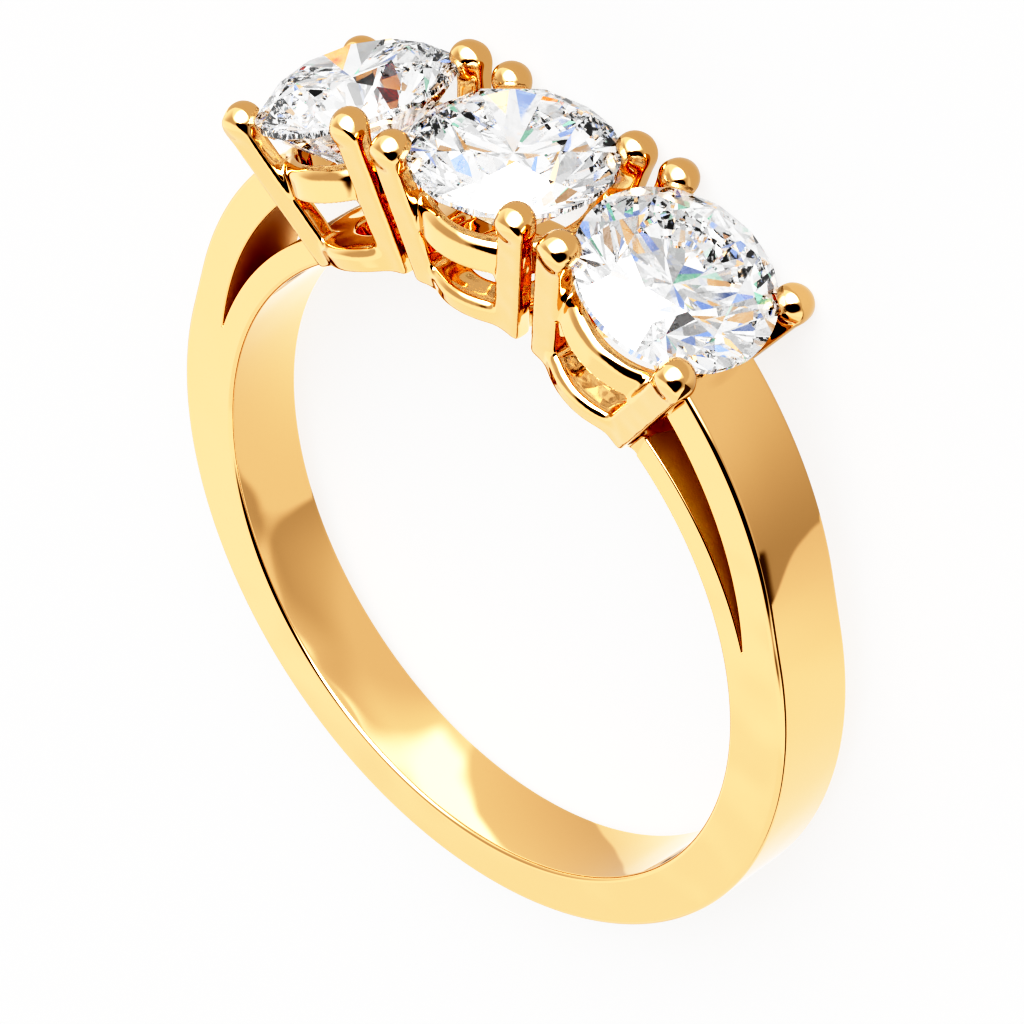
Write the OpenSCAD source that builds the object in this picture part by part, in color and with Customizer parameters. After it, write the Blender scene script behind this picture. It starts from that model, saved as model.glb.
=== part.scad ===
// Three stone ring: a yellow gold band with split shoulders and three claw settings soldered in a row,
// each holding a round brilliant. It lies on its side, on the palm edge of the band and the girdles of
// the two outer stones. Left and right are as seen from above with the stones at the far side.

/* [Finger hole] */
// Inside diameter
finger_d = 17; // [16:0.2:20]
// Radius of the small round along the edges of the finger hole
hole_edge_r = 0.12; // [0.05:0.01:0.2]

/* [Band] */
// Width of the band along the finger
band_w = 2.32; // [2:0.02:2.8]
// Thickness at the palm side
palm_t = 1.3; // [1.1:0.02:1.6]
// Thickness that the plain band grows to under the settings
crown_t = 2.12; // [2:0.02:2.4]
// Radius of the round along the outer edges
band_edge_r = 0.14; // [0.05:0.01:0.25]

/* [Split shoulders] */
// How far the centre of the upper arm's curve lies from the centre of the band's outer curve
shoulder_rise = 1.5; // [1.3:0.05:1.8]
// Direction of that rise, away from the shoulder's own side
shoulder_turn = 14.5; // [10:0.5:18]
// Thickness of the upper arm, between the slot and the outer face
upper_arm_t = 1.02; // [0.8:0.02:1.1]
// Thickness of the lower arm, between the finger hole and the slot
lower_arm_t = 0.73; // [0.6:0.01:0.85]

/* [Stones] */
// Diameter at the girdle
stone_d = 5; // [4.6:0.1:5.2]
// Thickness of the girdle
girdle_t = 0.12; // [0.08:0.01:0.2]
// Diameter of the table, across its corners
table_d = 2.9; // [2.6:0.1:3.2]
// Slope of the main facets of the crown
crown_slope = 34.5; // [32:0.5:36]
// Slope of the main facets of the pavilion
pavilion_slope = 40.75; // [39:0.25:43]
// Place of the star facets' lower corners, from the axis
star_r = 1.95; // [1.85:0.01:2.05]
// Place of the lower corners between the pavilion's main facets, from the axis
lower_half_r = 0.6; // [0.4:0.05:0.9]
// Gap between neighbouring girdles
stone_gap = 0.21; // [0.18:0.01:0.5]

/* [Settings] */
// Height of the centre girdle above the finger hole
centre_lift = 3.62; // [3.4:0.02:4]
// Height of the outer girdles above the finger hole, along their own axes
side_lift = 3.86; // [3.7:0.02:4.2]
// Radial thickness of the gallery rail
rail_t = 0.35; // [0.3:0.01:0.45]
// Height of the gallery rail's outer wall
rail_h = 0.62; // [0.44:0.02:0.7]
// Depth of the gallery rail's upper edge below the girdle
rail_drop = 1.26; // [1.2:0.02:1.4]
// How far the gallery rail stands inside the girdle's outline
rail_inset = 0.3; // [0.25:0.01:0.35]
// Width of the bevel along the gallery rail's upper edge
rail_bevel_w = 0.2; // [0.1:0.01:0.25]
// Height of that bevel
rail_bevel_h = 0.25; // [0.1:0.01:0.3]
// Radial thickness of the foot rail
foot_rail_t = 0.95; // [0.8:0.05:1.1]
// Height of the foot rail above the finger hole
foot_rail_h = 0.66; // [0.5:0.02:0.8]
// Gap between the upper edges of neighbouring foot rails, which solder fills at the middle
foot_rail_gap = 0.06; // [0.04:0.01:0.1]
// Width of that solder, along the finger
solder_w = 0.9; // [0.6:0.1:1.2]

/* [Claws] */
// Width of a claw along the row of stones
claw_w = 0.8; // [0.7:0.02:0.9]
// Depth of a claw along the finger
claw_t = 0.48; // [0.4:0.02:0.6]
// Lean of the claws towards the foot, in both directions
claw_lean = 12; // [10:0.5:13]
// How far a claw's middle lies outside its ball's middle, in both directions
claw_offset = 0.1; // [0.05:0.01:0.15]
// Diameter of the ball at the tip
ball_d = 0.93; // [0.85:0.01:1]
// How far the ball laps over the girdle
ball_lap = 0.17; // [0.12:0.01:0.22]
// Height of the ball's centre above the middle of the girdle
ball_lift = 0.12; // [0.05:0.01:0.2]
// Gap left between a stone and its seat in the claws
seat_gap = 0.03; // [0.02:0.01:0.05]

/* [Hidden] */
$fn = 96;
slack = 1;

finger_r = finger_d / 2;
outer_r = finger_r + (palm_t + crown_t) / 2;
outer_shift = (crown_t - palm_t) / 2;
core_r = finger_r / 2;
shoulder_centre = outer_shift + shoulder_rise * cos(shoulder_turn);
shoulder_aside = shoulder_rise * sin(shoulder_turn);
slot_outer_r = outer_r - upper_arm_t;
slot_inner_r = finger_r + lower_arm_t;

stone_r = stone_d / 2;
centre_h = finger_r + centre_lift;
side_h = finger_r + side_lift;
stone_pitch = stone_d + stone_gap;
side_angle = acos((centre_h * centre_h + side_h * side_h - stone_pitch * stone_pitch) / (2 * centre_h * side_h));

rail_r = stone_r - rail_inset;
foot_rail_r = (finger_r + foot_rail_h) * tan(side_angle / 2) - foot_rail_gap / 2;
arm_end_r = foot_rail_r - foot_rail_t / 9;
ball_r = ball_d / 2;
claw_top_drop = ball_r / 3;
ball_at = (stone_r + ball_r - ball_lap) * sin(45);
well_depth = side_lift + slack;

// The stone's main points. Its facets are cut on a 16-sided form whose flats touch the round girdle.
girdle_h = girdle_t / 2;
facet_turn = 22.5;
form_r = stone_r / cos(facet_turn / 2);
table_r = table_d / 2;
crown_h = (form_r - table_r) * tan(crown_slope);
pavilion_h = form_r * tan(pavilion_slope);
star_h = girdle_h + (form_r - star_r * cos(facet_turn)) * tan(crown_slope);
lower_half_h = -girdle_h - (form_r - lower_half_r * cos(facet_turn)) * tan(pavilion_slope);
table_h = girdle_h + crown_h;

// The ring rests on the rounded edge of its palm side and on the lower edges of the outer girdles.
palm_y = outer_r - outer_shift;
rest_run = palm_y - band_edge_r + (side_h - girdle_h) * cos(side_angle);
rest_rise = stone_r - band_w / 2 + band_edge_r;
rest_tilt = atan(rest_rise / rest_run) - asin(band_edge_r / norm([rest_run, rest_rise]));
rest_lift = (palm_y - band_edge_r) * sin(rest_tilt) + (band_w / 2 - band_edge_r) * cos(rest_tilt) + band_edge_r;
head_reach = (centre_h + table_h) * cos(rest_tilt) + table_r * sin(rest_tilt);
palm_reach = palm_y * cos(rest_tilt) + band_w / 2 * sin(rest_tilt);
rest_shift = (head_reach - palm_reach) / 2;

// Section through the metal, with both edges of the outer face rounded
module rim_section() {
    depth = outer_r - core_r;
    translate([core_r, -band_w / 2 + band_edge_r]) square([depth, band_w - 2 * band_edge_r]);
    translate([core_r, -band_w / 2]) square([depth - band_edge_r, band_w]);
    for (side = [-1, 1]) {
        translate([outer_r - band_edge_r, side * (band_w / 2 - band_edge_r)]) circle(r = band_edge_r);
    }
}

// The outer form of one shoulder, on the +X side: the flat that leaves the palm curve, then the upper arm's curve
module shoulder_form() {
    translate([0, outer_shift, 0]) rotate([0, 0, shoulder_turn]) {
        translate([0, shoulder_rise, 0]) rotate([90, 0, 0]) linear_extrude(shoulder_rise) rim_section();
        translate([0, shoulder_rise, 0]) rotate_extrude(angle = 90 - shoulder_turn - side_angle / 2) rim_section();
    }
}

// The outer form of the palm side, between the two shoulders
module palm_form() {
    translate([0, outer_shift, 0]) rotate([0, 0, 180 - shoulder_turn]) {
        rotate_extrude(angle = 180 + 2 * shoulder_turn) rim_section();
    }
}

// The slot through one shoulder, between the lower arm's round and the upper arm's inner round
module shoulder_slot() {
    difference() {
        translate([-shoulder_aside, shoulder_centre, -band_w]) cylinder(r = slot_outer_r, h = 2 * band_w);
        translate([0, 0, -2 * band_w]) cylinder(r = slot_inner_r, h = 4 * band_w);
        translate([-2 * outer_r, -2 * outer_r, -2 * band_w]) cube([2 * outer_r, 4 * outer_r, 4 * band_w]);
    }
}

// Where the settings stand, the band is cut away between the axes of the outer two, and inside their rails
module head_gap() {
    for (side = [-1, 1]) {
        rotate([0, 0, -side * side_angle]) {
            rotate([-90, 0, 0]) cylinder(r = arm_end_r, h = 2 * outer_r);
            translate([side > 0 ? -stone_pitch : 0, finger_r / 2, -band_w]) cube([stone_pitch, outer_r, 2 * band_w]);
        }
    }
}

module band() {
    difference() {
        union() {
            palm_form();
            shoulder_form();
            mirror([1, 0, 0]) shoulder_form();
        }
        shoulder_slot();
        mirror([1, 0, 0]) shoulder_slot();
        head_gap();
    }
}

// The finger hole, which also files the feet of the settings to its round
module finger_bore() {
    edge_z = band_w / 2 - hole_edge_r;
    cylinder(r = finger_r, h = 4 * stone_d, center = true);
    rotate_extrude() {
        for (side = [-1, 1]) {
            difference() {
                translate([0, side > 0 ? edge_z : -edge_z - stone_d]) square([finger_r + hole_edge_r, stone_d]);
                translate([finger_r + hole_edge_r, side * edge_z]) circle(r = hole_edge_r);
            }
        }
    }
}

// One claw: a flat bar with a round top, leaning to the foot, and its ball tip
module claw() {
    translate([ball_at + claw_offset, ball_at + claw_offset, ball_lift]) rotate([-claw_lean, claw_lean, 0]) {
        translate([0, claw_t / 2, 0]) rotate([90, 0, 0]) linear_extrude(claw_t) {
            translate([0, -claw_top_drop]) circle(d = claw_w);
            translate([-claw_w / 2, -well_depth]) square([claw_w, well_depth - claw_top_drop]);
        }
    }
    translate([ball_at, ball_at, ball_lift]) sphere(r = ball_r);
}

// The gallery rail, with its bevelled upper edge
module gallery_rail() {
    rotate_extrude() polygon([
        [rail_r - rail_t, -rail_drop - rail_h],
        [rail_r, -rail_drop - rail_h],
        [rail_r, -rail_drop],
        [rail_r - rail_bevel_w, -rail_drop + rail_bevel_h],
        [rail_r - rail_t, -rail_drop + rail_bevel_h]
    ]);
}

// The foot rail, which narrows downwards with the claws
module foot_rail(lift) {
    rail_depth = foot_rail_h + slack;
    narrowing = rail_depth * tan(claw_lean);
    rotate_extrude() translate([0, foot_rail_h - lift]) polygon([
        [foot_rail_r - foot_rail_t - narrowing, -rail_depth],
        [foot_rail_r - narrowing, -rail_depth],
        [foot_rail_r, 0],
        [foot_rail_r - foot_rail_t, 0]
    ]);
}

// Solder between two neighbouring foot rails, as deep as they are but for a step at the top
module foot_solder() {
    reach = foot_rail_gap / 2 + foot_rail_t * 0.27;
    translate([-reach, finger_r - slack, -solder_w / 2]) cube([2 * reach, slack + foot_rail_h * 0.85, solder_w]);
}

// Clearance round a stone, which cuts its seat into the claws
module seat_cut() {
    seat_r = stone_r + seat_gap;
    reach = form_r - seat_r;
    rotate_extrude() polygon([
        [0, -girdle_h - pavilion_h - 1.4 * seat_gap],
        [seat_r, -girdle_h - reach * tan(pavilion_slope) - 1.4 * seat_gap],
        [seat_r, girdle_h + reach * tan(crown_slope) + 2 * seat_gap],
        [table_r, table_h + 2 * seat_gap],
        [0, table_h + 2 * seat_gap]
    ]);
}

// One setting, with its stone's axis along +Z and the middle of the girdle at the origin
module setting(lift) {
    difference() {
        union() {
            for (across = [0, 1]) {
                for (along = [0, 1]) {
                    mirror([across, 0, 0]) mirror([0, along, 0]) claw();
                }
            }
            gallery_rail();
            foot_rail(lift);
        }
        seat_cut();
    }
}

// Puts a piece with its stone's axis along +Z at its place in the row: -1 left, 0 centre, 1 right
module at_place(place) {
    height = place == 0 ? centre_h : side_h;
    rotate([0, 0, -place * side_angle]) translate([0, height, 0]) rotate([-90, 0, 0]) children();
}

function ring_points(count, start, r, h) = [
    for (i = [0 : count - 1]) [r * cos(start + i * 360 / count), r * sin(start + i * 360 / count), h]
];

// A round brilliant's facets: table, stars, crown mains and halves, then girdle, pavilion halves and mains
module brilliant() {
    star = 8;
    top = 16;
    low = 32;
    half = 48;
    culet = 56;
    points = concat(
        ring_points(8, 0, table_r, table_h),
        ring_points(8, facet_turn, star_r, star_h),
        ring_points(16, 0, form_r, girdle_h),
        ring_points(16, 0, form_r, -girdle_h),
        ring_points(8, facet_turn, lower_half_r, lower_half_h),
        [[0, 0, -girdle_h - pavilion_h]]
    );
    table_face = [for (i = [7 : -1 : 0]) i];
    stars = [for (i = [0 : 7]) [i, (i + 1) % 8, star + i]];
    mains = [for (i = [0 : 7]) [i, star + i, top + 2 * i, star + (i + 7) % 8]];
    halves = [for (i = [0 : 7], s = [0, 1]) [star + i, top + (2 * i + 1 + s) % 16, top + 2 * i + s]];
    girdle = [for (i = [0 : 15]) [top + i, top + (i + 1) % 16, low + (i + 1) % 16, low + i]];
    low_halves = [for (i = [0 : 7], s = [0, 1]) [half + i, low + 2 * i + s, low + (2 * i + 1 + s) % 16]];
    low_mains = [for (i = [0 : 7]) [culet, half + (i + 7) % 8, low + 2 * i, half + i]];
    intersection() {
        polyhedron(points, concat([table_face], stars, mains, halves, girdle, low_halves, low_mains));
        cylinder(r = stone_r, h = 4 * stone_r, center = true);
    }
}

// Turns the finished ring on its side and sets it on the ground
module lie_down() {
    translate([0, rest_shift, rest_lift]) rotate([-rest_tilt, 0, 0]) rotate([0, 0, 180]) children();
}

module band_with_settings() {
    color("#E8B75C") lie_down() difference() {
        union() {
            band();
            for (place = [-1, 1]) at_place(place) setting(side_lift);
            at_place(0) setting(centre_lift);
            for (side = [-1, 1]) rotate([0, 0, side * side_angle / 2]) foot_solder();
        }
        finger_bore();
    }
}

module stone(place) {
    color("#F2F5F8") lie_down() at_place(place) brilliant();
}

band_with_settings();
stone(-1);  // stone_left
stone(0);  // stone_centre
stone(1);  // stone_right
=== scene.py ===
import math

import bpy
import numpy as np
from mathutils import Matrix, Vector


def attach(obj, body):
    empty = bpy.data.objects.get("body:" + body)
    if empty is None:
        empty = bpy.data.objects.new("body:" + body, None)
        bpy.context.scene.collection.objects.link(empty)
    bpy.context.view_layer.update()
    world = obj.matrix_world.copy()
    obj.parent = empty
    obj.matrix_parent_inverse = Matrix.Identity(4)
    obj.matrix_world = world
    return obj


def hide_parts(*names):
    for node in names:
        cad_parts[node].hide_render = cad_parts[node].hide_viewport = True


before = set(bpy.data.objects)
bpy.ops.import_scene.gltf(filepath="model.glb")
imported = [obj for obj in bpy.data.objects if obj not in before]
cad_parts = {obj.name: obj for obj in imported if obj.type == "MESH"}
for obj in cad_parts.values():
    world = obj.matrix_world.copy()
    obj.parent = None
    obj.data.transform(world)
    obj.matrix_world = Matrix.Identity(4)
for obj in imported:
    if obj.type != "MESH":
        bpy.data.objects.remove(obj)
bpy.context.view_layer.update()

# The band: one casting of 18 carat yellow gold, flat sided and with eased edges. Its shoulders are sawn
# through, which leaves an upper and a lower arm, and the outer settings are soldered between the arms.
# It stands for the band part of the soldered metal solid, with finer rounds.
MM = 0.001

# All sizes are millimetres on the upright ring: x along the row of stones, y from the finger to the
# stones, z along the finger. The outer face's centre lies above the hole's, so the palm side is thin.
finger_r = 8.5
palm_t, crown_t = 1.3, 2.12
outer_r = finger_r + (palm_t + crown_t) / 2
outer_shift = (crown_t - palm_t) / 2
band_w = 2.32
outer_edge_r, hole_edge_r, slot_edge_r = 0.15, 0.12, 0.05

# The upper arm is round about a centre of its own, and the slot lies between the arms
shoulder_rise, shoulder_turn = 1.5, math.radians(14.5)
shoulder = (-shoulder_rise * math.sin(shoulder_turn), outer_shift + shoulder_rise * math.cos(shoulder_turn))
upper_arm_t, lower_arm_t = 1.02, 0.73
slot_outer_r = outer_r - upper_arm_t
slot_inner_r = finger_r + lower_arm_t

# The stones stand in a row with a small gap, and the outer two lean outwards by side_angle. The arms end
# in the foot rails of the outer settings, at arm_end_r from the settings' axes.
stone_r, stone_gap, girdle_h = 2.5, 0.21, 0.06
stone_pitch = 2 * stone_r + stone_gap
centre_h, side_h = finger_r + 3.62, finger_r + 3.86
side_angle = math.acos((centre_h ** 2 + side_h ** 2 - stone_pitch ** 2) / (2 * centre_h * side_h))
arm_end_r = 1.9

# The ring lies on its palm edge and its outer girdles, so it leans by a few degrees. Its lean comes from
# the CAD's sizes: palm edges rounded by palm_edge_r, and a stone cut from a form with 16 flat sides.
crown_slope, pavilion_slope = math.radians(34.5), math.radians(40.75)
form_r, table_r = stone_r / math.cos(math.radians(11.25)), 1.45
table_h = girdle_h + (form_r - table_r) * math.tan(crown_slope)
palm_y = outer_r - outer_shift
palm_edge_r = 0.14
rest_run = palm_y - palm_edge_r + (side_h - girdle_h) * math.cos(side_angle)
rest_rise = stone_r - band_w / 2 + palm_edge_r
tilt = math.atan(rest_rise / rest_run) - math.asin(palm_edge_r / math.hypot(rest_run, rest_rise))
rest_lift = (palm_edge_r + (palm_y - palm_edge_r) * math.sin(tilt)
             + (band_w / 2 - palm_edge_r) * math.cos(tilt))
head_reach = (centre_h + table_h) * math.cos(tilt) + table_r * math.sin(tilt)
palm_reach = palm_y * math.cos(tilt) + band_w / 2 * math.sin(tilt)
lying = (Matrix.Scale(MM, 4) @ Matrix.Translation((0, (head_reach - palm_reach) / 2, rest_lift))
         @ Matrix.Rotation(-tilt, 4, "X") @ Matrix.Rotation(math.pi, 4, "Z"))

# The band's finishes, in the order of its materials, and the length of the straight spans that draw a round
POLISHED, AS_CAST, RUBBED = 0, 1, 2
span = 0.1


def arm_end(centre, radius):
    """Angle at which a round of the shoulder reaches the hidden end of its arm."""
    offset = centre[0] * math.cos(side_angle) - centre[1] * math.sin(side_angle)
    return math.acos((arm_end_r - offset) / radius) - side_angle


def along(centre, radius, start, end, facing, edge, finish=POLISHED):
    """Points of the outline on a round: place, direction out of the metal, edge radius, finish."""
    count = max(2, math.ceil(abs(end - start) * radius / span))
    return [(centre[0] + radius * math.cos(a), centre[1] + radius * math.sin(a),
             facing * math.cos(a), facing * math.sin(a), edge, finish)
            for a in np.linspace(start, end, count + 1)]


def band_outline():
    """The right half, from the middle of the palm over both arms and back along the finger hole."""
    middle, hub = (0, outer_shift), (0, 0)
    reach = math.hypot(*shoulder)
    rise = (slot_inner_r ** 2 - slot_outer_r ** 2 + reach ** 2) / (2 * reach)
    aside = math.sqrt(slot_inner_r ** 2 - rise ** 2)
    up = (shoulder[0] / reach, shoulder[1] / reach)
    tip = (rise * up[0] + aside * up[1], rise * up[1] - aside * up[0])
    tip_upper = math.atan2(tip[1] - shoulder[1], tip[0] - shoulder[0])
    tip_lower = math.atan2(tip[1], tip[0])
    points = along(middle, outer_r, -math.pi / 2, shoulder_turn, 1, outer_edge_r)
    points += along(shoulder, outer_r, shoulder_turn, arm_end(shoulder, outer_r), 1, outer_edge_r)
    points += along(shoulder, slot_outer_r, arm_end(shoulder, slot_outer_r), tip_upper, -1,
                    slot_edge_r, RUBBED)
    points += [(*tip, -math.cos(a), -math.sin(a), slot_edge_r, POLISHED)
               for a in np.linspace(tip_upper, tip_lower - math.pi, 9)[1:-1]]
    points += along(hub, slot_inner_r, tip_lower, arm_end(hub, slot_inner_r), 1, slot_edge_r, AS_CAST)
    points += along(hub, finger_r, arm_end(hub, finger_r), -math.pi / 2, -1, hole_edge_r)
    return points


def band_mesh(steps=6):
    """A wall along the whole outline, a quarter round along both its edges, and the two flat sides."""
    right = band_outline()
    loop = right + [(-x, y, -nx, ny, *rest) for x, y, nx, ny, *rest in reversed(right)]
    rows = [(-1, a) for a in np.linspace(math.pi / 2, 0, steps + 1)]
    rows += [(1, a) for a in np.linspace(0, math.pi / 2, steps + 1)]
    places, facings, known, grid = [], [], {}, []
    for x, y, nx, ny, edge, _ in loop:
        line = []
        for side, a in rows:
            inset = edge * (1 - math.cos(a))
            place = Vector((x - nx * inset, y - ny * inset, side * (band_w / 2 - edge * (1 - math.sin(a)))))
            key = tuple(round(c, 5) for c in place)
            if key not in known:
                known[key] = len(places)
                places.append(place)
                facings.append(Vector((nx * math.cos(a), ny * math.cos(a), side * math.sin(a))))
            line.append(known[key])
        grid.append(line)
    faces, finishes = [], []
    for i, here in enumerate(grid):
        onward = (i + 1) % len(grid)
        there = grid[onward]
        wall = min(loop[i][-1], loop[onward][-1])
        for row in range(len(rows) - 1):
            face = list(dict.fromkeys([here[row], there[row], there[row + 1], here[row + 1]]))
            if len(face) > 2:
                faces.append(face)
                finishes.append(wall if row == steps else POLISHED)
    faces.append(list(dict.fromkeys(line[0] for line in reversed(grid))))
    faces.append(list(dict.fromkeys(line[-1] for line in grid)))
    finishes += [POLISHED, POLISHED]
    mesh = bpy.data.meshes.new("band")
    mesh.from_pydata([lying @ p for p in places], [], faces)
    mesh.shade_smooth()
    mesh.polygons.foreach_set("material_index", finishes)
    turn = lying.to_3x3().normalized()
    mesh.normals_split_custom_set_from_vertices([turn @ n for n in facings])
    return mesh


def linear(hex_colour):
    """An sRGB hex colour as the linear colour that Blender works in."""
    channels = [int(hex_colour[i:i + 2], 16) / 255 for i in (1, 3, 5)]
    return [c / 12.92 if c <= 0.04045 else ((c + 0.055) / 1.055) ** 2.4 for c in channels] + [1.0]


def add(tree, kind, settings=None, *inputs, **named):
    """Adds a node, sets its properties, and sets or links its inputs by place or by name."""
    node = tree.nodes.new(kind)
    for key, value in (settings or {}).items():
        setattr(node, key, value)
    for key, value in [*enumerate(inputs), *named.items()]:
        socket = node.inputs[key if isinstance(key, int) else key.replace("_", " ")]
        if isinstance(value, bpy.types.Node):
            value = next(o for o in value.outputs if o.enabled)
        if isinstance(value, bpy.types.NodeSocket):
            tree.links.new(value, socket)
        elif value is not None:
            socket.default_value = value
    return node


def new_material(name):
    material = bpy.data.materials.new(name)
    material.use_nodes = True
    material.node_tree.nodes.clear()
    return material


NOISE, BUMP, RAMP, MIX = "ShaderNodeTexNoise", "ShaderNodeBump", "ShaderNodeMapRange", "ShaderNodeMix"
PRINCIPLED, SURFACE, PLACE = "ShaderNodeBsdfPrincipled", "ShaderNodeOutputMaterial", "ShaderNodeTexCoord"
COLOUR = {"data_type": "RGBA"}


def yellow_gold(name, roughness, waves, wave_depth, metallic=1.0):
    """18 carat gold: cloudy swirls between two roughnesses, 1.1 mm apart as a buff leaves them, and
    shallow waves, so many to a millimetre, that bend what the metal mirrors."""
    material = new_material(name)
    tree = material.node_tree
    place = add(tree, PLACE).outputs["Object"]
    swirl = add(tree, NOISE, None, Vector=place, Scale=0.9 / MM, Detail=3.0)
    gloss = add(tree, RAMP, None, Value=swirl.outputs[0], To_Min=roughness[0], To_Max=roughness[1])
    wave = add(tree, NOISE, None, Vector=place, Scale=waves / MM, Detail=0.0)
    wave = add(tree, BUMP, None, Strength=1.0, Distance=wave_depth * MM, Height=wave.outputs[0])
    shader = add(tree, PRINCIPLED, None, Base_Color=linear("#F9D1A4"), Metallic=metallic, Roughness=gloss,
                 Normal=wave)
    add(tree, SURFACE, None, shader)
    return material


# Polished yellow gold, buffed to a mirror: sharp reflections that waver a little over 1.5 mm
polished = yellow_gold("polished yellow gold", (0.03, 0.07), 0.65, 0.035)

# Gold as cast, on the lower arm's wall in the slot, where no tool reached: a stained, sandy skin that
# scatters the light and looks brown. Its grit, 0.1 mm apart, is drawn coarser than it is, to show.
as_cast = new_material("gold as cast, unpolished")
tree = as_cast.node_tree
place = add(tree, PLACE).outputs["Object"]
grit = add(tree, NOISE, None, Vector=place, Scale=9.0 / MM, Detail=4.0, Roughness=0.6)
stain = add(tree, NOISE, None, Vector=place, Scale=1.4 / MM, Detail=2.0)
stain = add(tree, MIX, COLOUR, stain.outputs[0], *[None] * 5, linear("#B9945A"), linear("#CCAB74"))
grit = add(tree, BUMP, None, Strength=0.5, Distance=0.02 * MM, Height=grit.outputs[0])
shader = add(tree, PRINCIPLED, None, Base_Color=stain, Metallic=0.35, Roughness=0.45, Normal=grit)
add(tree, SURFACE, None, shader)

# Rubbed gold, on the upper arm's wall in the slot, drawn over with a file and thread but not polished:
# soft glows without any reflected shape, dulled by what stays in the scratches
rubbed = yellow_gold("gold rubbed down, not polished", (0.4, 0.5), 0.65, 0.035, metallic=0.65)

band = bpy.data.objects.new("band", band_mesh())
bpy.context.scene.collection.objects.link(band)
for material in (polished, as_cast, rubbed):
    band.data.materials.append(material)
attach(band, "root")
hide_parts("band_with_settings")

# The three settings: each is four claws, cast as flat bars that end in balls, on a gallery rail and a
# foot rail. They are soldered in a row between the arms, and their feet are filed to the finger hole.
# One tree makes them: it works out how far a point lies from the metal, and skins that.
claw_w, claw_t, claw_lean = 0.8, 0.52, math.radians(12)
ball_r, ball_lap, ball_lift = 0.465, 0.17, 0.12
claw_offset, claw_out, claw_round_drop = 0.1, 0.02, ball_r / 3
ball_at = (stone_r + ball_r - ball_lap) * math.sin(math.pi / 4)
gallery_t, gallery_rise, gallery_h, gallery_roll = 0.35, 0.25, 0.62, 0.34
foot_rail_h, foot_rail_t, foot_rail_gap, foot_roll = 0.66, 0.95, 0.06, 0.3
foot_rail_r = (finger_r + foot_rail_h) * math.tan(side_angle / 2) - foot_rail_gap / 2
solder_w, solder_top = 0.9, finger_r + 0.85 * foot_rail_h
arm_in_rail = foot_rail_t / 9

# The stone's clearance in its seat at the girdle, and straight below and above the stone
seat_gap = 0.03
gap_below, gap_above = 1.4 * seat_gap, 2 * seat_gap

# How softly the metal is eased along each kind of edge, and filled in two kinds of corner
ease = {"claw": 0.24, "gallery wall": 0.12, "gallery underside": 0.1, "foot rail": 0.15, "solder": 0.1,
        "upper arm": 0.2, "lower arm": 0.15, "feet": 0.2, "seat": 0.04}
ball_fillet, arm_fillet = 0.3, 0.35

# Sizes that may differ from setting to setting. The solder reaches to both sides of the gap, and the arm
# clearance is how deep the arms lie under their own surface, or so large that the centre one has none.
setting_sizes = {"Girdle height": centre_h, "Gallery radius": stone_r - 0.3, "Gallery drop": 1.26,
                 "Fillet": 0.24, "Solder reach": 0.286, "Arm clearance": 5.0}

distance = bpy.data.node_groups.new("distance from a setting's metal", "GeometryNodeTree")
distance.interface.new_socket("Point", in_out="INPUT", socket_type="NodeSocketVector")
for name, size in setting_sizes.items():
    distance.interface.new_socket(name, in_out="INPUT", socket_type="NodeSocketFloat").default_value = size
distance.interface.new_socket("Distance", in_out="OUTPUT", socket_type="NodeSocketFloat")

MATH, VECTOR = "ShaderNodeMath", "ShaderNodeVectorMath"
JOIN, SPLIT = "ShaderNodeCombineXYZ", "ShaderNodeSeparateXYZ"
LESS, PLUS, TIMES, PER = ({"operation": o} for o in ("SUBTRACT", "ADD", "MULTIPLY", "DIVIDE"))
MADD, SIZE, LENGTH, SCALE = ({"operation": o} for o in ("MULTIPLY_ADD", "ABSOLUTE", "LENGTH", "SCALE"))
UNION, MEET, LOWER, HIGHER = ({"operation": o} for o in ("SMOOTH_MIN", "SMOOTH_MAX", "MINIMUM", "MAXIMUM"))

tree = distance
given = add(tree, "NodeGroupInput").outputs
xyz = add(tree, SPLIT, None, given["Point"]).outputs
quarter = add(tree, JOIN, None, add(tree, MATH, SIZE, xyz[0]), add(tree, MATH, SIZE, xyz[1]), xyz[2])
axis_r = add(tree, VECTOR, LENGTH, add(tree, JOIN, None, xyz[0], xyz[1], 0.0))
height = add(tree, MATH, PLUS, xyz[2], given["Girdle height"])

# A claw: a bar with a round top and eased edges, and the ball on it
claw_at = (ball_at + claw_offset, ball_at + claw_offset + claw_out, ball_lift)
bar = add(tree, "ShaderNodeVectorRotate", {"rotation_type": "EULER_XYZ", "invert": True},
          add(tree, VECTOR, LESS, quarter, claw_at), Rotation=(-claw_lean, claw_lean, 0))
bar = add(tree, SPLIT, None, bar).outputs
above = add(tree, MATH, HIGHER, add(tree, MATH, PLUS, bar[2], claw_round_drop), 0.0)
wide = add(tree, VECTOR, LENGTH, add(tree, JOIN, None, bar[0], above, 0.0))
deep = add(tree, MATH, LESS, add(tree, MATH, SIZE, bar[1]), claw_t / 2)
bar = add(tree, MATH, MEET, add(tree, MATH, LESS, wide, claw_w / 2), deep, ease["claw"])
ball = add(tree, VECTOR, LENGTH, add(tree, VECTOR, LESS, quarter, (ball_at, ball_at, ball_lift)))
metal = add(tree, MATH, UNION, bar, add(tree, MATH, LESS, ball, ball_r), ball_fillet)


def rolled(out, over, radius):
    """Distance from a rail's outer wall and its top, joined by a round."""
    out = add(tree, MATH, HIGHER, add(tree, MATH, PLUS, out, radius), 0.0)
    over = add(tree, MATH, HIGHER, add(tree, MATH, PLUS, over, radius), 0.0)
    return add(tree, MATH, LESS, add(tree, VECTOR, LENGTH, add(tree, JOIN, None, out, over, 0.0)), radius)


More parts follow.
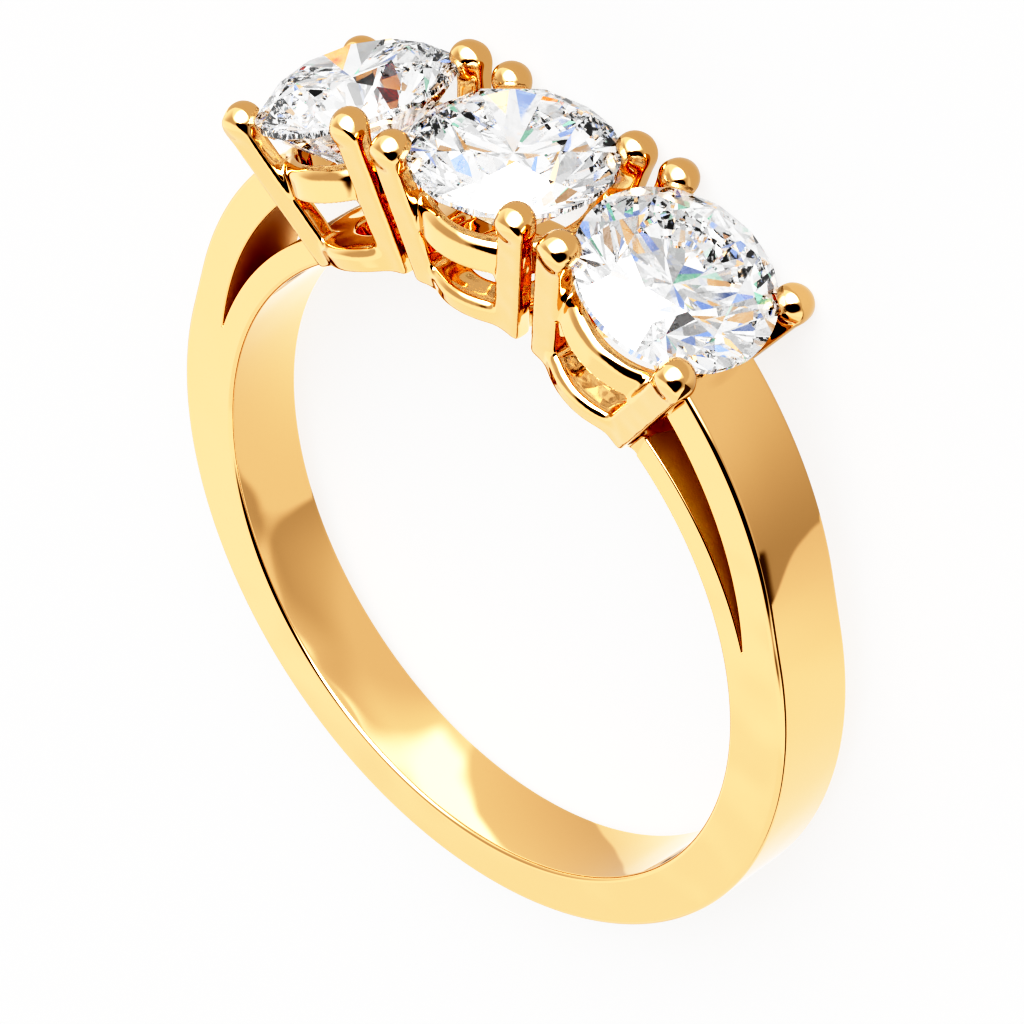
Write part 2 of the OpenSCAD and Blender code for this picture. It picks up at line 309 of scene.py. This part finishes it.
# The gallery rail, rolled over along its upper outer edge
out = add(tree, MATH, LESS, axis_r, given["Gallery radius"])
rise = add(tree, MATH, PLUS, xyz[2], given["Gallery drop"])
rail = rolled(out, add(tree, MATH, LESS, rise, gallery_rise), gallery_roll)
within = add(tree, MATH, TIMES, add(tree, MATH, PLUS, out, gallery_t), -1.0)
beneath = add(tree, MATH, TIMES, add(tree, MATH, PLUS, rise, gallery_h), -1.0)
rail = add(tree, MATH, MEET, rail, within, ease["gallery wall"])
rail = add(tree, MATH, MEET, rail, beneath, ease["gallery underside"])
metal = add(tree, MATH, UNION, metal, rail, given["Fillet"])

# The foot rail, a thick ring that narrows with the claws, rolled over in the same way
drop = add(tree, MATH, LESS, height, finger_r + foot_rail_h)
out = add(tree, MATH, LESS, axis_r, add(tree, MATH, MADD, drop, math.tan(claw_lean), foot_rail_r))
within = add(tree, MATH, TIMES, add(tree, MATH, PLUS, out, foot_rail_t), -1.0)
foot = add(tree, MATH, MEET, rolled(out, drop, foot_roll), within, ease["foot rail"])
metal = add(tree, MATH, UNION, metal, foot, given["Fillet"])

# Solder between neighbouring foot rails, on the plane halfway between them
half_cos, half_sin = math.cos(side_angle / 2), math.sin(side_angle / 2)
aside = add(tree, MATH, SIZE, xyz[0])
across = add(tree, MATH, TIMES, height, half_sin)
across = add(tree, MATH, LESS, add(tree, MATH, TIMES, aside, half_cos), across)
outward = add(tree, MATH, TIMES, height, half_cos)
outward = add(tree, MATH, PLUS, add(tree, MATH, TIMES, aside, half_sin), outward)
solder = add(tree, MATH, LESS, add(tree, MATH, SIZE, across), given["Solder reach"])
solder = add(tree, MATH, MEET, solder, add(tree, MATH, LESS, outward, solder_top), ease["solder"])
depth = add(tree, MATH, LESS, add(tree, MATH, SIZE, xyz[1]), solder_w / 2)
solder = add(tree, MATH, MEET, solder, depth, ease["solder"])
metal = add(tree, MATH, UNION, metal, solder, given["Fillet"])

# The arms that an outer setting is soldered to, just under their own surface, so that only the fillet
# shows. They are measured on the upright ring, from the finger hole's axis and the shoulder's.
side_cos, side_sin = math.cos(side_angle), math.sin(side_angle)
right = add(tree, MATH, TIMES, height, side_sin)
right = add(tree, MATH, PLUS, add(tree, MATH, TIMES, xyz[0], side_cos), right)
up = add(tree, MATH, TIMES, xyz[0], side_sin)
up = add(tree, MATH, LESS, add(tree, MATH, TIMES, height, side_cos), up)
upright = add(tree, JOIN, None, right, up, 0.0)
from_hub = add(tree, VECTOR, LENGTH, upright)
from_shoulder = add(tree, VECTOR, LENGTH, add(tree, VECTOR, LESS, upright, (*shoulder, 0.0)))
across = add(tree, MATH, LESS, add(tree, MATH, SIZE, xyz[1]), band_w / 2)
upper = add(tree, MATH, SIZE, add(tree, MATH, LESS, from_shoulder, (outer_r + slot_outer_r) / 2))
upper = add(tree, MATH, LESS, upper, upper_arm_t / 2)
lower = add(tree, MATH, SIZE, add(tree, MATH, LESS, from_hub, (finger_r + slot_inner_r) / 2))
lower = add(tree, MATH, LESS, lower, lower_arm_t / 2)
arms = add(tree, MATH, LOWER, add(tree, MATH, MEET, upper, across, ease["upper arm"]),
           add(tree, MATH, MEET, lower, across, ease["lower arm"]))
arms = add(tree, MATH, HIGHER, arms, add(tree, MATH, LESS, foot_rail_r - arm_in_rail, axis_r))
arms = add(tree, MATH, HIGHER, arms, add(tree, MATH, TIMES, xyz[0], -1.0))
metal = add(tree, MATH, UNION, metal, add(tree, MATH, PLUS, arms, given["Arm clearance"]), arm_fillet)

# The finger hole files the feet, and the stone's seat is cut into the claws
metal = add(tree, MATH, MEET, metal, add(tree, MATH, LESS, finger_r, from_hub), ease["feet"])
culet_h = girdle_h + form_r * math.tan(pavilion_slope) + gap_below
below = add(tree, MATH, PLUS, add(tree, MATH, MADD, axis_r, -math.tan(pavilion_slope), culet_h), xyz[2])
below = add(tree, MATH, TIMES, below, -math.cos(pavilion_slope))
peak_h = girdle_h + form_r * math.tan(crown_slope) + gap_above
over = add(tree, MATH, PLUS, add(tree, MATH, MADD, axis_r, math.tan(crown_slope), -peak_h), xyz[2])
over = add(tree, MATH, TIMES, over, math.cos(crown_slope))
beside = add(tree, MATH, LESS, axis_r, stone_r + seat_gap)
seat = add(tree, MATH, HIGHER, add(tree, MATH, HIGHER, below, over), beside)
metal = add(tree, MATH, MEET, metal, add(tree, MATH, TIMES, seat, -1.0), ease["seat"])
add(tree, "NodeGroupOutput", None, metal)

# Yellow gold polished by hand: the small bars and rails can't be lapped flat, so their reflections waver
# within 0.7 mm, more than the band's
hand_polished = yellow_gold("yellow gold, polished by hand", (0.03, 0.07), 1.5, 0.045)

# The tree that skins the metal inside a box about the setting: a mesh on a grid, whose points then move
# onto the true surface along the slope of the distance, in three steps
box_half, box_down, box_up = 2.6, 4.3, 0.7
box_sizes = {"Reach across": box_half, "Grain": 0.04}
probe = 0.01
skin = bpy.data.node_groups.new("claw setting", "GeometryNodeTree")
skin.interface.new_socket("Geometry", in_out="INPUT", socket_type="NodeSocketGeometry")
for name, size in [*setting_sizes.items(), *box_sizes.items()]:
    skin.interface.new_socket(name, in_out="INPUT", socket_type="NodeSocketFloat").default_value = size
skin.interface.new_socket("Geometry", in_out="OUTPUT", socket_type="NodeSocketGeometry")

tree = skin
given = add(tree, "NodeGroupInput").outputs
GROUP, METAL = "GeometryNodeGroup", {"node_tree": distance}
passed = {name.replace(" ", "_"): given[name] for name in setting_sizes}
here = add(tree, "GeometryNodeInputPosition")
low = add(tree, JOIN, None, -box_half, -box_half, -box_down)
high = add(tree, JOIN, None, given["Reach across"], box_half, box_up)
fineness = add(tree, MATH, PER, 1.0, given["Grain"])
cells = add(tree, VECTOR, SCALE, add(tree, VECTOR, LESS, high, low), Scale=fineness)
cells = add(tree, SPLIT, None, cells).outputs
density = add(tree, MATH, LESS, 0.5, add(tree, GROUP, METAL, here, **passed))
block = add(tree, "GeometryNodeVolumeCube", None, density, 0.0, low, high, *cells)
shape = add(tree, "GeometryNodeVolumeToMesh", {"resolution_mode": "GRID"}, block, Threshold=0.5)
for _ in range(3):
    far = add(tree, GROUP, METAL, here, **passed)
    slope = []
    for aside in ((probe, 0, 0), (0, probe, 0), (0, 0, probe)):
        beside = add(tree, GROUP, METAL, add(tree, VECTOR, PLUS, here, aside), **passed)
        slope.append(add(tree, MATH, LESS, beside, far))
    slope = add(tree, VECTOR, {"operation": "NORMALIZE"}, add(tree, JOIN, None, *slope))
    back = add(tree, VECTOR, SCALE, slope, Scale=add(tree, MATH, TIMES, far, -1.0))
    shape = add(tree, "GeometryNodeSetPosition", None, shape, Offset=back)
shape = add(tree, "GeometryNodeSetShadeSmooth", None, shape)
shape = add(tree, "GeometryNodeRealizeInstances", None, shape)
shape = add(tree, "GeometryNodeSetMaterial", None, shape, Material=hand_polished)
add(tree, "NodeGroupOutput", None, shape)


def setting_mesh(lean, sizes):
    """A setting as a plain mesh, at its place in the row, where it leans out by an angle."""
    blank = bpy.data.objects.new("blank", bpy.data.meshes.new("blank"))
    bpy.context.scene.collection.objects.link(blank)
    modifier = blank.modifiers.new("claw setting", "NODES")
    modifier.node_group = skin
    for item in skin.interface.items_tree:
        if item.in_out == "INPUT" and item.name in sizes:
            modifier[item.identifier] = sizes[item.name]
    mesh = bpy.data.meshes.new_from_object(blank.evaluated_get(bpy.context.evaluated_depsgraph_get()))
    bpy.data.objects.remove(blank)
    mesh.materials.pop(index=0)  # the empty slot that Set Material leaves in front
    in_row = (Matrix.Rotation(-lean, 4, "Z") @ Matrix.Translation((0, sizes["Girdle height"], 0))
              @ Matrix.Rotation(-math.pi / 2, 4, "X"))
    mesh.transform(lying @ in_row)
    return mesh


# The centre setting has solder on both sides, and each outer one has arms on its outer side. The left
# one is the right one mirrored.
centre_mesh = setting_mesh(0, {"Girdle height": centre_h})
right_mesh = setting_mesh(side_angle, {"Girdle height": side_h, "Solder reach": -1.0,
                                       "Arm clearance": 0.012, "Reach across": 3.3})
left_mesh = right_mesh.copy()
left_mesh.transform(Matrix.Scale(-1, 4, (1, 0, 0)))
left_mesh.flip_normals()

# Rays that come out of a stone pass the settings by, which keeps the stones clear
for name, mesh in (("setting_centre", centre_mesh), ("setting_right", right_mesh),
                   ("setting_left", left_mesh)):
    mesh.name = name
    setting = bpy.data.objects.new(name, mesh)
    bpy.context.scene.collection.objects.link(setting)
    setting.visible_transmission = False
    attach(setting, "root")
    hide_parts("band_with_settings")

# The stones: three round brilliants of half a carat each, cut diamonds, polished facet by facet and held
# by the claws. Their facets are those of the CAD solids, so only their material is new.

# Cut diamond, clear and strongly bending the light, so that the facets flash bright and dull. A faint
# haze from the polishing wheel, in patches 0.7 mm apart, softens what shows through it.
diamond = new_material("cut diamond")
tree = diamond.node_tree
place = add(tree, PLACE).outputs["Object"]
haze = add(tree, NOISE, None, Vector=place, Scale=1.5 / MM, Detail=2.0)
haze = add(tree, RAMP, None, haze.outputs[0], 0.4, 0.7, 0.0, 0.02)
shader = add(tree, PRINCIPLED, None, Base_Color=linear("#FFFFFF"), Roughness=haze, IOR=2.417,
             Transmission_Weight=1.0)
add(tree, SURFACE, None, shader)
for name in ("stone_left", "stone_centre", "stone_right"):
    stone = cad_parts[name]
    stone.data.materials.clear()
    stone.data.materials.append(diamond)

# The floor: a plain sweep of pale paper, white to the camera but for a faint shadow. Polished gold mirrors
# what stands about it in a studio, and here that is a painted reflection: dull and bright fields glowing on
# the paper, which only mirror rays see. Their places are millimetres, x towards the left stone and y
# towards the palm.
floor_mesh = bpy.data.meshes.new("floor")
floor_mesh.from_pydata([(-1, -1, 0), (1, -1, 0), (1, 1, 0), (-1, 1, 0)], [], [(0, 1, 2, 3)])
floor = bpy.data.objects.new("floor", floor_mesh)
bpy.context.scene.collection.objects.link(floor)
paper = new_material("pale paper")
tree = paper.node_tree
place = add(tree, PLACE).outputs["Object"]
x, y, _ = add(tree, SPLIT, None, add(tree, VECTOR, SCALE, place, Scale=1 / MM)).outputs
EMISSION, BLEND, CELLS, RAYS = ("ShaderNodeEmission", "ShaderNodeMixShader", "ShaderNodeTexVoronoi",
                                "ShaderNodeLightPath")
SMOOTH = {"interpolation_type": "SMOOTHSTEP"}
WHITE = linear("#FFFFFF")

# Painted reflection beside the ring: dull under the shoulder, as far as a curved line, and nearly black in
# a narrow slit
dull = add(tree, RAMP, SMOOTH, y, -10, -3.5, 0.80, 0.51)
slit = add(tree, MATH, TIMES, add(tree, RAMP, SMOOTH, x, -13.3, -13.0, 1, 0),
           add(tree, RAMP, SMOOTH, y, -4.4, -4.0, 0, 1))
dull = add(tree, MIX, None, slit, None, dull, 0.15)
pale = add(tree, RAMP, SMOOTH, y, -4.5, 1, 0.8, 1.04)
aside = add(tree, MATH, PLUS, x, 10)
bend = add(tree, MATH, TIMES, add(tree, MATH, TIMES, aside, aside), 0.22)
past_line = add(tree, RAMP, SMOOTH, add(tree, MATH, LESS, y, bend), -4.35, -4.15, 0, 1)
outside = add(tree, MIX, None, past_line, None, dull, pale)

# Painted reflection inside the ring, towards the palm: a bright field, a dull one, a narrow bright strip
# and a duller field
bright = add(tree, RAMP, None, x, -5, -2.2, 1.16, 0.96)
dull = add(tree, RAMP, None, x, -2, 1.8, 0.72, 0.87)
palm_side = add(tree, MIX, None, add(tree, RAMP, SMOOTH, x, -2.35, -2.15, 0, 1), None, bright, dull)
duller = add(tree, MATH, PLUS, add(tree, RAMP, SMOOTH, y, 4.7, 6.7, 0.55, 0.79),
             add(tree, RAMP, SMOOTH, x, 4.0, 2.2, 0, 0.3))
palm_side = add(tree, MIX, None, add(tree, RAMP, SMOOTH, x, 1.8, 2.1, 0, 1), None, palm_side, duller)
strip = add(tree, MATH, SIZE, add(tree, MATH, LESS, x, 2.35))
strip = add(tree, MATH, TIMES, add(tree, RAMP, SMOOTH, strip, 0.2, 0.6, 1.0, 0),
            add(tree, RAMP, SMOOTH, y, 8.2, 9.2, 1, 0))
palm_side = add(tree, MATH, PLUS, palm_side, strip)

# Painted reflection inside the ring, from the palm field over the middle to the stones, and past the palm.
# Then the fields beside the ring and inside it are put together, and in front of the stones the painted
# reflection is dull.
middle = add(tree, RAMP, SMOOTH, y, -2, 4.8, 1.17, 0.87)
inside = add(tree, MIX, None, add(tree, RAMP, SMOOTH, y, 4.8, 4.95, 0, 1), None, middle, palm_side)
inside = add(tree, MIX, None, add(tree, RAMP, SMOOTH, y, -8, -5, 0, 1), None, 0.65, inside)
inside = add(tree, MIX, None, add(tree, RAMP, SMOOTH, y, 10.5, 11.0, 0, 1), None, inside, 0.9)
painted_reflection = add(tree, MIX, None, add(tree, RAMP, SMOOTH, x, -6, -5.5, 0, 1), None, outside, inside)
painted_reflection = add(tree, MIX, None, add(tree, RAMP, SMOOTH, y, -13.5, -11.5, 0, 1), None, 0.66, painted_reflection)

# Painted shade: light mirrored a second time is dimmed to about three quarters and a third time to about a
# fifth, which keeps the crevices dark, and gold seen through a stone is painted bright
rays = add(tree, RAYS).outputs
painted_crevice_shade = add(tree, RAMP, None, rays["Glossy Depth"], 1.6, 3.0, 1.0, 0.22)
painted_reflection = add(tree, MIX, None, rays["Transmission Depth"], None, add(tree, MATH, TIMES, painted_reflection, painted_crevice_shade), 2.2)

# What each kind of ray meets: the camera's a paper lit by the studio and bright of itself, a diffuse ray
# the lit paper, a mirror ray the painted reflection, and one out of a stone painted glints, bright and dull
# flecks 0.45 mm wide
lit = add(tree, PRINCIPLED, None, Base_Color=linear("#F4F3F1"), Roughness=0.9)
seen = add(tree, BLEND, None, 0.7, lit, add(tree, EMISSION, None, WHITE, 1.0))
seen = add(tree, BLEND, None, rays["Is Diffuse Ray"], seen, lit)
seen = add(tree, BLEND, None, rays["Is Glossy Ray"], seen, add(tree, EMISSION, None, WHITE, painted_reflection))
# Painted glints: flecks on the paper that only rays out of a stone see, as sparkle in the stones
fleck = add(tree, CELLS, None, Vector=place, Scale=2.2 / MM)
fleck = add(tree, "ShaderNodeSeparateColor", None, fleck.outputs["Color"]).outputs[0]
flecks = add(tree, EMISSION, None, WHITE, add(tree, RAMP, None, fleck, 0, 1, 0.4, 1.2))
seen = add(tree, BLEND, None, rays["Is Transmission Ray"], seen, flecks)
add(tree, SURFACE, None, seen)
floor_mesh.materials.append(paper)

# The light tent: plain and pale, brighter near the soft box, duller in a wide field overhead, and with a
# dark opening on the camera's side. Its places are degrees: rise is how far a direction leans towards
# the stones' side, and turn how far it turns from straight up towards the right stone.
world = bpy.data.worlds.new("studio")
bpy.context.scene.world = world
world.use_nodes = True
tree = world.node_tree
tree.nodes.clear()
facing = add(tree, PLACE).outputs["Generated"]
way = add(tree, SPLIT, None, facing).outputs
rise = add(tree, MATH, {"operation": "ARCSINE"}, add(tree, MATH, TIMES, way[1], -0.9999))
rise = add(tree, MATH, {"operation": "DEGREES"}, rise)
turn = add(tree, MATH, {"operation": "ARCTAN2"}, add(tree, MATH, TIMES, way[0], -1.0), way[2])
turn = add(tree, MATH, {"operation": "DEGREES"}, turn)

towards_lamp = Vector((-0.206, -0.799, 0.566))
near_lamp = add(tree, VECTOR, {"operation": "DOT_PRODUCT"}, facing, towards_lamp).outputs["Value"]
tent = add(tree, RAMP, SMOOTH, near_lamp, 0.68, 0.9, 1.14, 3.6)

# The wide duller field overhead, and a slight dulling past the palm
field = add(tree, MATH, TIMES, add(tree, RAMP, SMOOTH, rise, 36, 26, 0, 1),
            add(tree, RAMP, SMOOTH, rise, -22, -8, 0, 1))
field_ends = add(tree, MATH, TIMES, add(tree, RAMP, SMOOTH, turn, -90, -40, 0, 1),
                 add(tree, RAMP, SMOOTH, turn, 140, 110, 0, 1))
field = add(tree, RAMP, None, add(tree, MATH, TIMES, field, field_ends), 0, 1, 1, 0.53)
tent = add(tree, MATH, TIMES, tent, field)
tent = add(tree, MATH, TIMES, tent, add(tree, RAMP, SMOOTH, rise, -47, -42.5, 0.91, 1))

# The dark opening: a soft oval, by the place of its middle and its half widths
opening_turn, opening_rise = 38, 1
opening_across, opening_over = 42, 30
across = add(tree, MATH, PER, add(tree, MATH, LESS, turn, opening_turn), opening_across)
over = add(tree, MATH, PER, add(tree, MATH, LESS, rise, opening_rise), opening_over)
opening = add(tree, VECTOR, LENGTH, add(tree, JOIN, None, across, over, 0.0))
opening = add(tree, RAMP, SMOOTH, opening, 0.75, 1.1, 0.1, 1.0)

# Painted shade dims light mirrored more than once, as on the floor; gold seen through a stone is painted
# bright
rays = add(tree, RAYS).outputs
painted_crevice_shade = add(tree, RAMP, None, rays["Glossy Depth"], 1.6, 3.0, 1.0, 0.22)
tent = add(tree, MATH, TIMES, add(tree, MATH, TIMES, tent, opening), painted_crevice_shade)
tent = add(tree, MIX, None, rays["Transmission Depth"], None, tent, 1.9)

# What the stones pick out of the tent: many small bright and dull patches, a few of them coloured, which
# stand for the fire of cut diamond. A row picks one of a patch's random values, the place where its tint
# comes or goes, the tint's share below and above that, and the tint.
patch = add(tree, CELLS, None, Vector=facing, Scale=15.0)
pick = add(tree, "ShaderNodeSeparateColor", None, patch.outputs["Color"]).outputs
tint = WHITE
for value, edge, below, above, fire in ((2, 0.92, 0, 1, "#A4BFFF"), (1, 0.90, 0, 1, "#FFCB94"),
                                        (1, 0.02, 1, 0, "#A0E8C8")):
    share = add(tree, RAMP, None, pick[value], edge, edge + 0.02, below, above)
    tint = add(tree, MIX, COLOUR, share, *[None] * 5, tint, linear(fire))
glint = add(tree, MATH, TIMES, add(tree, RAMP, None, pick[0], 0.0, 1.0, 0.42, 1.28),
            add(tree, RAMP, None, opening, 0.1, 1.0, 0.8, 1.0))
BACKGROUND = "ShaderNodeBackground"
light = add(tree, BLEND, None, rays["Is Transmission Ray"], add(tree, BACKGROUND, None, WHITE, tent),
            add(tree, BACKGROUND, None, tint, glint))
add(tree, "ShaderNodeOutputWorld", None, light)

# The soft box: one round lamp beside the camera, further to the stones' side and about as high, as wide
# as it is far. The gold and the facets mirror it, but it lights no floor and shows through no stone.
lamp_far = 0.3
lamp_data = bpy.data.lights.new("soft box", "AREA")
lamp_data.shape = "DISK"
lamp_data.size = lamp_far
lamp_data.energy = 1.1
lamp = bpy.data.objects.new("soft box", lamp_data)
bpy.context.scene.collection.objects.link(lamp)
lamp.visible_diffuse = False
lamp.visible_transmission = False
lamp.location = towards_lamp * lamp_far
lamp.rotation_euler = towards_lamp.to_track_quat("Z", "Y").to_euler()

# The picture: light finds its way out of the stones only after many bounces, and the print is hard, as
# bright product photographs are
paths = bpy.context.scene.cycles
paths.max_bounces, paths.glossy_bounces, paths.transmission_bounces = 24, 16, 24
view = bpy.context.scene.view_settings
view.view_transform = "Standard"
view.use_curve_mapping = True
tone = view.curve_mapping.curves[3]
tone.points[0].location = (0, 0)
tone.points[1].location = (1.0, 0.99)
for value, shown in ((0.099, 0.003), (0.145, 0.02), (0.214, 0.074), (0.314, 0.198), (0.462, 0.423),
                     (0.68, 0.753), (0.85, 0.92)):
    tone.points.new(value, shown)
view.curve_mapping.update()

# The camera, at the photograph's angle to the ring: in front of the stones, on the right one's side, and
# above the floor. It stands 12 cm from the ring, which gives the photograph's perspective.
camera_data = bpy.data.cameras.new("camera")
camera_data.lens = 174.47
camera_data.sensor_width = 36.0
camera_data.clip_start = 0.005
camera_data.clip_end = 5.0
camera = bpy.data.objects.new("camera", camera_data)
bpy.context.scene.collection.objects.link(camera)
camera.location = (-63.8936 * MM, -72.7567 * MM, 75.3058 * MM)
camera.rotation_euler = [math.radians(a) for a in (-33.3059, 43.6425, -174.7372)]
bpy.context.scene.camera = camera
